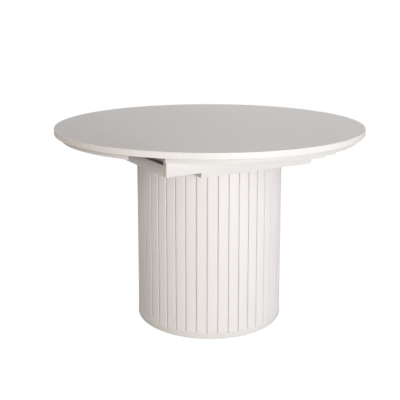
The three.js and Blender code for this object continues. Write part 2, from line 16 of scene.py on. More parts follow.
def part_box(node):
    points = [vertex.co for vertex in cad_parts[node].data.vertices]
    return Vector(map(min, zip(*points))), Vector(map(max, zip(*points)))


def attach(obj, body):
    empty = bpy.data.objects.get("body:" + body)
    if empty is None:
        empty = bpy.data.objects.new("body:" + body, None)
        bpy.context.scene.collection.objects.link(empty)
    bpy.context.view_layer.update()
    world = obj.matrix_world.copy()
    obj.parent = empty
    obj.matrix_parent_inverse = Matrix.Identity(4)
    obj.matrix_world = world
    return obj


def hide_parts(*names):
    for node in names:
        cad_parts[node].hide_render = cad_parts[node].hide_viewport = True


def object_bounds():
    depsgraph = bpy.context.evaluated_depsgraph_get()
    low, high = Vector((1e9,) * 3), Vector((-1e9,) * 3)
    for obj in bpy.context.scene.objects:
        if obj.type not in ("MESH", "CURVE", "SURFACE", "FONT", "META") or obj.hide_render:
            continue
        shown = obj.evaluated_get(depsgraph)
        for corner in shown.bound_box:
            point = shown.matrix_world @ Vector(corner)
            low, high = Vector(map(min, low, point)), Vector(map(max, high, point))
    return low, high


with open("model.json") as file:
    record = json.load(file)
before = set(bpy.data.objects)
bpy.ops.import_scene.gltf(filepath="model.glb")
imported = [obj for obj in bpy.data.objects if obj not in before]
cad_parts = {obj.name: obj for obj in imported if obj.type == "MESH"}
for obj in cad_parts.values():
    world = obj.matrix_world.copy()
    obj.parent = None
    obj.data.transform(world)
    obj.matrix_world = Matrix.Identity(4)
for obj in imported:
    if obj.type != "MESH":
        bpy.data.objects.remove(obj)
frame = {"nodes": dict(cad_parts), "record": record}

MM = 0.001  # the scene is in metres

cad_low, cad_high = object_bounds()
nodes = frame["nodes"]
body_of_node = {
    node: body
    for body, members in frame["record"]["behaviour"]["bodies"].items()
    for node in members
}
print("parts:", len(nodes), "box:", tuple(cad_high - cad_low))

# %% [markdown]
# ## The camera
# A catalogue picture of a table is taken from a standing eye, a little above the top, with the
# uprights kept upright. A view camera does that by sliding its lens instead of tipping, which
# Blender calls shift. Here the camera tips a little and shifts a little, so that it can also
# walk round the table and keep it in the picture.

# %% Place the camera
TURN = math.radians(-30)  # the camera stands to the left of the table's front
STAND_OFF = 2.680
SIDE_STEP = 0.0367
EYE_HEIGHT = 1.1798
TIP_DOWN = math.radians(8.53)
LENS_MM = 61.88
SENSOR_MM = 36.0
SHIFT = -0.20

camera_data = bpy.data.cameras.new("studio_camera")
camera_data.lens = LENS_MM
camera_data.sensor_width = SENSOR_MM
camera_data.shift_y = SHIFT
camera = bpy.data.objects.new("studio_camera", camera_data)
bpy.context.scene.collection.objects.link(camera)
bpy.context.scene.camera = camera
camera.rotation_euler = (math.pi / 2 - TIP_DOWN, 0, TURN)
camera.location = Matrix.Rotation(TURN, 4, "Z") @ Vector((-SIDE_STEP, -STAND_OFF, EYE_HEIGHT))
print("camera at", tuple(round(c, 3) for c in camera.location))

# %% [markdown]
# ## The studio
# White furniture is shown against white. What shapes it is one broad light, set level with
# the table and to the right of the camera, so that upright faces glow and the top stays a tone
# darker. Weaker lamps all round keep the far sides readable, the warm one for the left cheek.
# A dim even sky fills the shadows. The floor and the sky look pure white to the camera, but
# the light that they give off is much weaker, which an is-camera-ray switch allows.

# %% Light the studio
scene = bpy.context.scene
scene.view_settings.view_transform = "Standard"

FILL = 0.15
FILL_TINT = (1.0, 0.94, 0.90, 1)
WHITE = (1, 1, 1, 1)
LAMP_DISTANCE = 4.5
LAMP_SIZE = 2.4
LAMPS = {
    # name: degrees right of the camera, degrees up, watts, tint
    "key": (23, 3, 166, (0.975, 0.98, 0.995)),
    "low_left": (-34, 3, 32, (1.0, 0.89, 0.83)),
    "warm_left": (-60, 25, 20, (1.0, 0.87, 0.60)),
    "far_left": (-120, 25, 42, (0.80, 0.89, 1.0)),
    "behind": (165, 50, 68, (0.97, 0.98, 1.0)),
    "right": (95, 25, 52, (1.0, 0.97, 1.0)),
}

sky = bpy.data.worlds.new("studio_sky")
scene.world = sky
sky.use_nodes = True
sky_tree = sky.node_tree
sky_tree.nodes.clear()
fill_light = sky_tree.nodes.new("ShaderNodeBackground")
fill_light.inputs["Color"].default_value = FILL_TINT
fill_light.inputs["Strength"].default_value = FILL
seen_white = sky_tree.nodes.new("ShaderNodeBackground")
seen_white.inputs["Strength"].default_value = 1.0
seen_white.inputs["Color"].default_value = WHITE
ray = sky_tree.nodes.new("ShaderNodeLightPath")
either = sky_tree.nodes.new("ShaderNodeMixShader")
sky_out = sky_tree.nodes.new("ShaderNodeOutputWorld")
sky_tree.links.new(ray.outputs["Is Camera Ray"], either.inputs["Fac"])
sky_tree.links.new(fill_light.outputs["Background"], either.inputs[1])
sky_tree.links.new(seen_white.outputs["Background"], either.inputs[2])
sky_tree.links.new(either.outputs["Shader"], sky_out.inputs["Surface"])


def soft_light(name, azimuth, elevation, power, tint):
    """A square lamp that looks at the table, placed by its angle from the camera's line."""
    lamp_data = bpy.data.lights.new(name + "_light", "AREA")
    lamp_data.shape = "SQUARE"
    lamp_data.size = LAMP_SIZE
    lamp_data.energy = power
    lamp_data.color = tint
    lamp = bpy.data.objects.new(name + "_light", lamp_data)
    scene.collection.objects.link(lamp)
    heading = TURN + math.radians(azimuth)
    rise = math.radians(elevation)
    towards = Vector((
        math.sin(heading) * math.cos(rise),
        -math.cos(heading) * math.cos(rise),
        math.sin(rise),
    ))
    middle = Vector((0, 0, (cad_low.z + cad_high.z) / 2))
    lamp.location = middle + towards * LAMP_DISTANCE
    lamp.rotation_euler = towards.to_track_quat("Z", "Y").to_euler()
    return lamp


for name, (azimuth, elevation, power, tint) in LAMPS.items():
    lamp = soft_light(name, azimuth, elevation, power, tint)
    print(lamp.name, "at", tuple(round(c, 2) for c in lamp.location))

# %% [markdown]
# ## Shader sums in plain Python
# A finish is a few sums on position and noise. Wiring Math nodes by hand hides the sum, so a
# small class wraps an output and lets plus, minus, times and power add the nodes.

# %% Wrap the shader nodes


class Signal:
    """An output in a material's tree. Sums on it add Math nodes."""

    def __init__(self, finish, output):
        self.finish = finish
        self.output = output

    def sum_with(self, operation, first, second):
        inputs = {0: first, 1: second}
        return self.finish.node("ShaderNodeMath", {"operation": operation}, inputs)["Value"]

    def __add__(self, other):
        return self.sum_with("ADD", self, other)

    def __radd__(self, other):
        return self.sum_with("ADD", other, self)

    def __sub__(self, other):
        return self.sum_with("SUBTRACT", self, other)

    def __rsub__(self, other):
        return self.sum_with("SUBTRACT", other, self)

    def __mul__(self, other):
        return self.sum_with("MULTIPLY", self, other)

    def __rmul__(self, other):
        return self.sum_with("MULTIPLY", other, self)

    def __pow__(self, other):
        return self.sum_with("POWER", self, other)

    def step(self, start, end):
        """0 below start, 1 above end, smooth between."""
        settings = {"interpolation_type": "SMOOTHSTEP"}
        values = {"Value": self, "From Min": start, "From Max": end}
        return self.finish.node("ShaderNodeMapRange", settings, values)["Result"]


class Outputs:
    """The outputs of one node, by name."""

    def __init__(self, finish, node):
        self.finish = finish
        self.node = node

    def __getitem__(self, name):
        return Signal(self.finish, self.node.outputs[name])


class Finish:
    """One material: a Principled shader and whatever feeds it."""

    def __init__(self, name, roughness=0.5, metallic=0.0, specular=0.5):
        self.material = bpy.data.materials.new(name)
        self.material.use_nodes = True
        self.tree = self.material.node_tree
        self.tree.nodes.clear()
        self.shader = self.tree.nodes.new("ShaderNodeBsdfPrincipled")
        self.shader.inputs["Roughness"].default_value = roughness
        self.shader.inputs["Metallic"].default_value = metallic
        self.shader.inputs["Specular IOR Level"].default_value = specular
        out = self.tree.nodes.new("ShaderNodeOutputMaterial")
        self.tree.links.new(self.shader.outputs["BSDF"], out.inputs["Surface"])
        self.position = self.node("ShaderNodeTexCoord")["Object"]

    def node(self, kind, settings=None, values=None):
        made = self.tree.nodes.new(kind)
        for name, value in (settings or {}).items():
            setattr(made, name, value)
        for name, value in (values or {}).items():
            if isinstance(value, Signal):
                self.tree.links.new(value.output, made.inputs[name])
            else:
                made.inputs[name].default_value = value
        return Outputs(self, made)

    def feed(self, socket, signal):
        self.tree.links.new(signal.output, self.shader.inputs[socket])

    def parts_of_position(self):
        split = self.node("ShaderNodeSeparateXYZ", None, {0: self.position})
        return split["X"], split["Y"], split["Z"]

    def stretched(self, x, y, z):
        """The position, scaled by itself along each axis."""
        values = {"Vector": self.position, "Scale": (x, y, z)}
        return self.node("ShaderNodeMapping", None, values)["Vector"]

    def noise(self, scale, detail=2.0, roughness=0.5, where=None):
        values = {
            "Vector": where or self.position,
            "Scale": scale,
            "Detail": detail,
            "Roughness": roughness,
        }
        return self.node("ShaderNodeTexNoise", None, values)["Fac"]

    def colour_between(self, factor, first, second):
        """A colour that runs from one to the other as the factor goes from 0 to 1."""
        mix = self.node("ShaderNodeMix", {"data_type": "RGBA"}, {0: factor})
        for index, value in ((6, first), (7, second)):
            if isinstance(value, Signal):
                self.tree.links.new(value.output, mix.node.inputs[index])
            else:
                mix.node.inputs[index].default_value = (*value, 1)
        return Signal(self, mix.node.outputs[2])

    def bump(self, height, distance, strength=1.0):
        """Relief from a height signal, in metres."""
        values = {"Height": height, "Distance": distance, "Strength": strength}
        self.feed("Normal", self.node("ShaderNodeBump", None, values)["Normal"])


print("shader helpers ready")

# %% [markdown]
# ## Paint
# The whole table is fibreboard, sprayed a warm white and cured matte. Three things keep sprayed
# paint from looking like plastic: a faint ripple where the droplets ran together, a finer
# stipple on top of it, and a sheen that drifts a little across a panel. Corners are sanded
# before the last coat, so they end up smoother than the faces; their brighter white is a painted
# highlight.

# %% Mix the paints
PAPER_WHITE = (0.88, 0.86, 0.83)
# Painted highlight: the white of corners and the rim, brighter than the faces' paint.
EDGE_PAINTED_HIGHLIGHT = (0.92, 0.905, 0.88)
# Painted light: the slats carry the boards' paint, made brighter.
SLAT_PAINTED_LIGHT_WHITE = (0.95, 0.925, 0.912)
SHADE_WHITE = (0.80, 0.775, 0.74)
# Painted shade and dust: the colour that the grooves darken towards.
GROOVE_SHADE_AND_DUST = (0.60, 0.565, 0.54)
DRIFT_SCALE = 2.3
MOTTLE_SCALE = 55.0
FLOW_SCALE = 420.0
STIPPLE_SCALE = 2600.0
PAINT_RELIEF = 0.06 * MM
BOARD_ROUGHNESS = 0.52


def sprayed_tone(paint):
    """Slow drift, fine mottle, and the tone that the two make together."""
    drift = paint.noise(DRIFT_SCALE, detail=3.0)
    mottle = paint.noise(MOTTLE_SCALE, detail=2.0)
    return drift, mottle, (drift * 0.7 + mottle * 0.3).step(0.30, 0.72)


def spray_paint(name, colour, shade, roughness, ripple=0.5):
    """Sprayed matte paint: drift in tone and sheen, ripple and stipple in relief."""
    paint = Finish(name, roughness=roughness, specular=0.35)
    drift, mottle, tone = sprayed_tone(paint)
    paint.feed("Base Color", paint.colour_between(tone, shade, colour))
    stipple = paint.noise(STIPPLE_SCALE, detail=1.0)
    flow = paint.noise(FLOW_SCALE, detail=2.0)
    paint.feed("Roughness", (mottle - 0.5) * 0.10 + (drift - 0.5) * 0.12 + roughness)
    paint.bump(flow * ripple + stipple * (1 - ripple), PAINT_RELIEF, 0.8)
    return paint.material


def tinted(colour, share):
    """A colour moved part of the way to the shaded white."""
    return tuple(c + (s - c) * share for c, s in zip(colour, SHADE_WHITE))


board_paint = spray_paint("board_paint", PAPER_WHITE, tinted(PAPER_WHITE, 0.25), BOARD_ROUGHNESS)
# The edge paint is a painted highlight: a brighter white for bevels and the rim.
edge_highlight_paint = spray_paint("edge_highlight_paint", EDGE_PAINTED_HIGHLIGHT, tinted(EDGE_PAINTED_HIGHLIGHT, 0.15), 0.42)
# The top's paint leans a little further to the shaded white than the boards': a painted shade that
# keeps the top a touch darker.
top_lacquer = spray_paint("top_lacquer", PAPER_WHITE, tinted(PAPER_WHITE, 0.30), 0.46, 0.7)
print("paints:", board_paint.name, edge_highlight_paint.name, top_lacquer.name)

# %% [markdown]
# The drum's paint knows how far it is from the axis. The grooves get painted shade and dust,
# so the paint darkens smoothly as it goes below the slats' faces, and the slats' own white is
# brighter than the boards', a painted light. Close to the floor it also carries a few faint scuffs.

# %% Mix the drum's paint
plinth_low, plinth_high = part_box("plinth")
PLINTH_RADIUS = (plinth_high.x - plinth_low.x) / 2
SLAT_RADIUS = max(
    Vector((v.co.x, v.co.y)).length for v in nodes["slat_panel_1"].data.vertices
)
SLAT_GROOVE_DEPTH = 5 * MM
GROOVE_SHADE_AND_DUST_STARTS = 1.2 * MM  # below the slats' faces
SCUFFS_FADE = (0.02, 0.16)  # metres above the floor


def slat_paint():
    paint = Finish("slat_paint", roughness=BOARD_ROUGHNESS, specular=0.35)
    x, y, z = paint.parts_of_position()
    from_axis = (x * x + y * y) ** 0.5
    # Painted shade and dust in the grooves: this mask darkens the paint below the slats' faces.
    sunk = 1 - from_axis.step(SLAT_RADIUS - SLAT_GROOVE_DEPTH, SLAT_RADIUS - GROOVE_SHADE_AND_DUST_STARTS)
    drift, mottle, tone = sprayed_tone(paint)
    # The slats' brighter white is painted light.
    face = paint.colour_between(tone, tinted(SLAT_PAINTED_LIGHT_WHITE, 0.12), SLAT_PAINTED_LIGHT_WHITE)
    scuffs = paint.noise(30.0, detail=4.0, where=paint.stretched(1, 1, 3))
    low_down = 1 - z.step(*SCUFFS_FADE)
    scuffed = paint.colour_between(low_down * scuffs.step(0.5, 0.75) * 0.25, face, SHADE_WHITE)
    # The grooves darken towards the dust colour: painted shade and dust.
    paint.feed("Base Color", paint.colour_between(sunk * 0.55, scuffed, GROOVE_SHADE_AND_DUST))
    paint.feed("Roughness", (mottle - 0.5) * 0.10 + sunk * 0.2 + BOARD_ROUGHNESS)
    stipple = paint.noise(STIPPLE_SCALE, detail=1.0)
    flow = paint.noise(FLOW_SCALE, detail=2.0, where=paint.stretched(1, 1, 0.4))
    paint.bump(flow * 0.5 + stipple * 0.5, PAINT_RELIEF, 0.8)
    return paint.material


drum_paint = slat_paint()
print("slats stand at", round(SLAT_RADIUS, 4), "m from the axis")

# %% [markdown]
# ## Board, steel, beech and felt
# Inside the table nothing is painted: sealed fibreboard is a pale felt of fibres, pressed steel
# has the crystal bloom of zinc, dowels are turned beech and the pads are matted wool.

# %% Mix the hidden finishes


def raw_board():
    board = Finish("raw_fibreboard", roughness=0.8, specular=0.25)
    fibre = board.noise(900.0, detail=4.0, roughness=0.7, where=board.stretched(1, 1, 2.5))
    cloud = board.noise(9.0, detail=3.0)
    tone = (fibre * 0.6 + cloud * 0.4).step(0.35, 0.65)
    board.feed("Base Color", board.colour_between(tone, (0.47, 0.38, 0.29), (0.62, 0.52, 0.41)))
    board.feed("Roughness", fibre * 0.2 + 0.68)
    board.bump(fibre, 0.1 * MM, 0.7)
    return board.material


def zinc_steel():
    steel = Finish("zinc_steel", roughness=0.34, metallic=1.0)
    bloom = steel.node(
        "ShaderNodeTexVoronoi", {"feature": "F1"}, {"Vector": steel.position, "Scale": 420.0}
    )["Distance"]
    rolled = steel.noise(40.0, detail=3.0, where=steel.stretched(1, 30, 30))
    tone = (bloom * 0.2 + rolled * 0.8).step(0.10, 0.90)
    steel.feed("Base Color", steel.colour_between(tone, (0.50, 0.51, 0.53), (0.70, 0.71, 0.73)))
    steel.feed("Roughness", rolled * 0.22 + bloom * 0.1 + 0.22)
    steel.bump(rolled, 0.03 * MM, 0.6)
    return steel.material


def beech_dowel():
    beech = Finish("beech_dowel", roughness=0.6, specular=0.3)
    grain = beech.noise(120.0, detail=4.0, where=beech.stretched(0.08, 1, 1))
    flecks = beech.noise(900.0, detail=2.0, where=beech.stretched(0.15, 1, 1)).step(0.58, 0.7)
    wood = beech.colour_between(grain.step(0.35, 0.65), (0.50, 0.31, 0.17), (0.68, 0.47, 0.28))
    beech.feed("Base Color", beech.colour_between(flecks * 0.5, wood, (0.36, 0.20, 0.10)))
    beech.feed("Roughness", grain * 0.2 + 0.5)
    beech.bump(grain, 0.15 * MM, 0.6)
    return beech.material


def wool_felt():
    wool = Finish("wool_felt", roughness=0.95, specular=0.1)
    hairs = wool.noise(1400.0, detail=4.0, roughness=0.75, where=wool.stretched(1, 0.35, 1))
    clumps = wool.noise(160.0, detail=3.0)
    tone = (hairs * 0.6 + clumps * 0.4).step(0.3, 0.7)
    wool.feed("Base Color", wool.colour_between(tone, (0.030, 0.030, 0.033), (0.12, 0.12, 0.125)))
    wool.feed("Roughness", hairs * 0.1 + 0.86)
    wool.bump(hairs + clumps, 0.35 * MM, 0.9)
    return wool.material


def painted_shade_sheet():
    """Painted shade: a near-black sheet on the underside of the top, so that the hollow under it
    stays dark.
    """
    shade_sheet = Finish("painted_shade_sheet", roughness=0.6, specular=0.3)
    fibre = shade_sheet.noise(700.0, detail=4.0, roughness=0.7, where=shade_sheet.stretched(1, 0.3, 1))
    cloud = shade_sheet.noise(6.0, detail=3.0)
    tone = (fibre * 0.5 + cloud * 0.5).step(0.35, 0.65)
    shade_sheet.feed("Base Color", shade_sheet.colour_between(tone, (0.055, 0.046, 0.034), (0.095, 0.080, 0.062)))
    shade_sheet.feed("Roughness", fibre * 0.2 + 0.5)
    shade_sheet.bump(fibre, 0.05 * MM, 0.5)
    return shade_sheet.material


underside_painted_shade = painted_shade_sheet()
fibreboard = raw_board()
steel = zinc_steel()
beech = beech_dowel()
felt = wool_felt()
FINISHES = {
    "top_paint": top_lacquer,
    "body_paint": board_paint,
    "raw_board": fibreboard,
    "zinc_steel": steel,
    "beech": beech,
    "felt": felt,
}
slot_of_node = {row["node"]: row["material_slot"] for row in frame["record"]["subparts"]}
for node, thing in nodes.items():
    thing.data.materials.clear()
    thing.data.materials.append(FINISHES[slot_of_node[node]])
print("finishes:", ", ".join(sorted(FINISHES)))

# %% [markdown]
# ## Tools for meshes
# Every new piece ends the same way: its modifiers become a plain mesh, it takes the motion of the
# part it stands for, and its object stays at the origin.

# %% Write the mesh tools


def named(start):
    """The joiner's parts whose names start so, in order."""
    return sorted(node for node in nodes if node.startswith(start))


def to_object(name, mesh, *materials):
    thing = bpy.data.objects.new(name, mesh)
    scene.collection.objects.link(thing)
    for material in materials:
        mesh.materials.append(material)
    return thing


def freeze(thing):
    """Turns what the modifiers make into a plain mesh and drops the modifiers."""
    depsgraph = bpy.context.evaluated_depsgraph_get()
    made = bpy.data.meshes.new_from_object(thing.evaluated_get(depsgraph))
    thing.modifiers.clear()
    thing.data = made
    return thing


def seat(thing, stands_for, slot=None):
    """The piece moves with the part it stands for, and hides it."""
    first = stands_for[0]
    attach(thing, body_of_node[first])
    slot or slot_of_node[first]
    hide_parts(*stands_for)
    return thing


def ease_edges(thing, width, steps=3):
    """Rounds the sharp edges, keeps the flats flat and gives the rounding the second finish, which
    on painted boards is a painted highlight.
    """
    bevel = thing.modifiers.new("eased", "BEVEL")
    bevel.width = width
    bevel.segments = steps
    bevel.limit_method = "ANGLE"
    bevel.angle_limit = math.radians(40)
    bevel.harden_normals = True
    bevel.use_clamp_overlap = True
    bevel.miter_outer = "MITER_ARC"
    bevel.material = 1 if len(thing.data.materials) > 1 else 0
    for face in thing.data.polygons:
        face.use_smooth = True
    return thing


def clean_copy(node, name):
    """A copy of a part with its triangles merged back into whole faces."""
    mesh = nodes[node].data.copy()
    mesh.name = name
    mesh.materials.clear()
    work = bmesh.new()
    work.from_mesh(mesh)
    bmesh.ops.remove_doubles(work, verts=work.verts, dist=0.01 * MM)
    bmesh.ops.dissolve_limit(
        work, angle_limit=math.radians(0.4), verts=work.verts, edges=work.edges
    )
    work.to_mesh(mesh)
    work.free()
    return mesh


print("mesh tools ready")

# %% [markdown]
# ## The boards
# Rails, frame boards, stiffeners and the stored leaf are sawn board with a sanded corner. The
# joiner's parts have the right shape with knife edges, so each board is copied, its triangles
# are merged, and a small bevel takes the corners off. The light then catches every edge, and
# the bevel on painted boards also carries a painted highlight in a brighter white.

# %% Ease every board
EASED = {
    0.9 * MM: [n for n in nodes if n.endswith(("_rail", "_crossbar"))],
    1.0 * MM: [n for n in nodes if n.startswith("frame_") and "bolt" not in n],
    0.5 * MM: [n for n in nodes if n.endswith("_stiffener")],
    0.6 * MM: ["leaf_lower_panel", "leaf_upper_panel"],
    0.7 * MM: ["pedestal_mid_disc", "pedestal_top_disc"],
}


def ease_board(node, width):
    slot = slot_of_node[node]
    # Painted boards get the edge paint on their bevel: a painted highlight in a brighter white.
    edge = fibreboard if slot == "raw_board" else edge_highlight_paint
    board = to_object(node + "_eased", clean_copy(node, node + "_eased"), FINISHES[slot], edge)
    freeze(ease_edges(board, width))
    return seat(board, [node])


boards = [ease_board(node, width) for width, group in EASED.items() for node in sorted(group)]
print("eased boards:", len(boards))

# %% [markdown]
# ## The round top
# Each half is a half disc. It is turned like a bowl, from a profile that starts and ends on the
# axis, then cut straight along the seam. The rim gets a tight round at both corners, which is
# the bright line that runs round the table; the whole rim is also painted a brighter white, a
# painted highlight. The underside gets a near-black sheet, a painted shade.

# %% Turn the two halves
RIM_STEPS = 360
RIM_ROUND = 1.6 * MM
CORNER_STEPS = 5


def rounded_profile(radius, low, high, corner):
    """Half section of a disc with rounded corners, from the axis underneath to the axis on top."""
    points = [(0.0, low)]
    for start, height in ((-math.pi / 2, low + corner), (0.0, high - corner)):
        for i in range(CORNER_STEPS + 1):
            angle = start + (math.pi / 2) * i / CORNER_STEPS
            reach = radius - corner + corner * math.cos(angle)
            points.append((reach, height + corner * math.sin(angle)))
    points.append((0.0, high))
    return points


def turned(profile, steps):
    """Spins a profile about the axis into a closed mesh."""
    work = bmesh.new()
    rings = []
    for radius, height in profile:
        if radius == 0:
            rings.append([work.verts.new((0, 0, height))])
            continue
        ring = []
        for i in range(steps):
            angle = 2 * math.pi * i / steps
            ring.append(work.verts.new((radius * math.cos(angle), radius * math.sin(angle), height)))
        rings.append(ring)
    for lower, upper in zip(rings, rings[1:]):
        for i in range(steps):
            j = (i + 1) % steps
            corners = [
                lower[i % len(lower)], lower[j % len(lower)],
                upper[j % len(upper)], upper[i % len(upper)],
            ]
            work.faces.new(list(dict.fromkeys(corners)))
    return work


def flat_where_flat(mesh, sharp_deg=35):
    for face in mesh.polygons:
        face.use_smooth = True
    mesh.set_sharp_from_angle(angle=math.radians(sharp_deg))


def half_top(half):
    node = half + "_top_panel"
    low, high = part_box(node)
    way = 1 if half == "right" else -1
    radius = max(abs(low.x), abs(high.x))
    seam = low.x if way > 0 else high.x
    work = turned(rounded_profile(radius, low.z, high.z, RIM_ROUND), RIM_STEPS)
    everything = work.verts[:] + work.edges[:] + work.faces[:]
    cut = bmesh.ops.bisect_plane(
        work, geom=everything, plane_co=(seam, 0, 0), plane_no=(-way, 0, 0), clear_outer=True
    )
    rim = [e for e in cut["geom_cut"] if isinstance(e, bmesh.types.BMEdge)]
    bmesh.ops.contextual_create(work, geom=rim)
    mesh = finished(work, node + "_turned")
    # The second finish is the rim's painted highlight, the third the underside's painted shade
    # sheet.
    return to_object(node + "_turned", mesh, top_lacquer, edge_highlight_paint, underside_painted_shade)


def carve(thing, tool_mesh):
    """Cuts a mesh out of an object, for good."""
    tool = to_object("carving_tool", tool_mesh)
    hole = thing.modifiers.new("hole", "BOOLEAN")
    hole.operation = "DIFFERENCE"
    hole.solver = "EXACT"
    hole.object = tool
    bpy.context.view_layer.update()
    freeze(thing)
    bpy.data.objects.remove(tool)


def round_bar(work, radius, length, place, steps=32):
    """A round bar about its place's Z."""
    bmesh.ops.create_cone(
        work, cap_ends=True, segments=steps, radius1=radius, radius2=radius,
        depth=length, matrix=place,
    )


def along_x(work, radius, start, end, y, z, steps=32):
    """A round bar along X, from start to end."""
    middle = Matrix.Translation(((start + end) / 2, y, z))
    round_bar(work, radius, end - start, middle @ Matrix.Rotation(math.pi / 2, 4, "Y"), steps)


def finished(work, name):
    """Turns the faces outwards, gives the mesh and lets the bmesh go."""
    bmesh.ops.recalc_face_normals(work, faces=work.faces)
    mesh = bpy.data.meshes.new(name)
    work.to_mesh(mesh)
    work.free()
    return mesh


def drill_up(thing, place, radius, reach):
    """A round hole along Z that reaches as far above its place as below."""
    work = bmesh.new()
    round_bar(work, radius, 2 * reach, Matrix.Translation(place))
    carve(thing, finished(work, "drill"))


DOWEL_PLAY = 0.3 * MM  # round the dowel
DOWEL_END_SPARE = 0.4 * MM  # past its ends


def drill_for_dowels(top):
    """Holes in the seam's edge that take the dowels, in both halves."""
    for side in ("front", "rear"):
        low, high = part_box(side + "_seam_dowel")
        middle = (low + high) / 2
        radius = (high.z - low.z) / 2 + DOWEL_PLAY
        reach = (high.x - low.x) / 2 + DOWEL_END_SPARE
        work = bmesh.new()
        along_x(work, radius, -reach, reach, middle.y, middle.z)
        carve(top, finished(work, "drill"))


for half in ("left", "right"):
    top = half_top(half)
    drill_for_dowels(top)
    low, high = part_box(half + "_top_panel")
    rim_starts = max(-low.x, high.x) - 2 * RIM_ROUND
    # The rim takes the painted highlight, the underside the painted shade sheet, the rest the top's
    # paint.
    for face in top.data.polygons:
        on_rim = face.center.xy.length > rim_starts
        underneath = face.normal.z < -0.9
        face.material_index = 1 if on_rim else 2 if underneath else 0
    flat_where_flat(top.data)
    weighted = top.modifiers.new("flats", "WEIGHTED_NORMAL")
    weighted.keep_sharp = True
    seat(freeze(top), [half + "_top_panel"])
    print(top.name, len(top.data.polygons), "faces")

# %% [markdown]
# ## The slatted drum
# Forty-five slats, all alike, stand in a ring with a groove between each pair. One bay is drawn,
# from the middle of one groove to the middle of the next, and a Geometry Nodes tree sets it
# round the axis. The bays meet edge to edge, so merging them leaves one closed shell.

# %% Draw one bay of the drum
panel_nodes = named("slat_panel_")
panel_low, panel_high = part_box(panel_nodes[0])
SLAT_COUNT = 45
SLAT_BACK = 18 * MM
GROOVE_FLOOR = 0.8  # share of the groove's width that is flat
GROOVE_WIDTH = 4 * MM
SLAT_ROUND = 1.8 * MM
FIRST_GROOVE = math.radians(5.65)
BAY = 2 * math.pi / SLAT_COUNT


def bay_outline():
    """Points of one bay across the drum as (radius, angle), the outside first, then the back."""
    half_groove = GROOVE_WIDTH / 2 / SLAT_RADIUS
    turn = SLAT_ROUND / SLAT_RADIUS
    floor = SLAT_RADIUS - SLAT_GROOVE_DEPTH
    rise = [(floor, 0.0), (floor, half_groove * GROOVE_FLOOR)]
    for i in range(CORNER_STEPS + 1):
        angle = (math.pi / 2) * i / CORNER_STEPS
        lift = SLAT_RADIUS - SLAT_ROUND * (1 - math.sin(angle))
        rise.append((lift, half_groove + turn * (1 - math.cos(angle))))
    face = [(SLAT_RADIUS, BAY * share) for share in (0.25, 0.5, 0.75)]
    fall = [(radius, BAY - angle) for radius, angle in reversed(rise)]
    back = [(SLAT_RADIUS - SLAT_BACK, BAY * share) for share in (1.0, 0.5, 0.0)]
    return rise + face + fall, back


def bay_mesh():
    outside, back = bay_outline()
    work = bmesh.new()
    ends = []
    for height in (panel_low.z, panel_high.z):
        ends.append([
            work.verts.new((radius * math.cos(angle), radius * math.sin(angle), height))
            for radius, angle in outside + back
        ])
    bottom, top = ends
    count = len(outside)
    for i in [*range(count - 1), *range(count, count + len(back) - 1)]:
        work.faces.new((bottom[i], bottom[i + 1], top[i + 1], top[i]))
    work.faces.new(top)
    work.faces.new(list(reversed(bottom)))
    mesh = bpy.data.meshes.new("drum_bay")
    work.to_mesh(mesh)
    work.free()
    return mesh


print("points across one bay:", sum(len(part) for part in bay_outline()))

# %% [markdown]
# The tree itself is short: a ring of points, the bay instanced on each and turned to face out,
# then Realize Instances, a merge of the shared edges, and Set Material.

# %% Set the bays round the axis


class Tree:
    """A Geometry Nodes tree with named inputs."""

    def __init__(self, name, inputs):
        self.group = bpy.data.node_groups.new(name, "GeometryNodeTree")
        faces = self.group.interface
        faces.new_socket("Geometry", in_out="INPUT", socket_type="NodeSocketGeometry")
        faces.new_socket("Geometry", in_out="OUTPUT", socket_type="NodeSocketGeometry")
        self.names = {}
        for label, kind in inputs:
            made = faces.new_socket(label, in_out="INPUT", socket_type="NodeSocket" + kind)
            self.names[label] = made.identifier
        self.start = self.group.nodes.new("NodeGroupInput")
        self.end = self.group.nodes.new("NodeGroupOutput")

    def node(self, kind, settings=None, values=None):
        made = self.group.nodes.new(kind)
        for name, value in (settings or {}).items():
            setattr(made, name, value)
        for name, value in (values or {}).items():
            if isinstance(value, bpy.types.NodeSocket):
                self.group.links.new(value, made.inputs[name])
            else:
                made.inputs[name].default_value = value
        return made

    def given(self, label):
        return self.start.outputs[label]

    def finish(self, geometry):
        self.group.links.new(geometry, self.end.inputs["Geometry"])

    def put_on(self, thing, **values):
        """Adds the tree to an object and sets its inputs by their identifiers."""
        modifier = thing.modifiers.new(self.group.name, "NODES")
        modifier.node_group = self.group
        for label, value in values.items():
            modifier[self.names[label]] = value
        return modifier


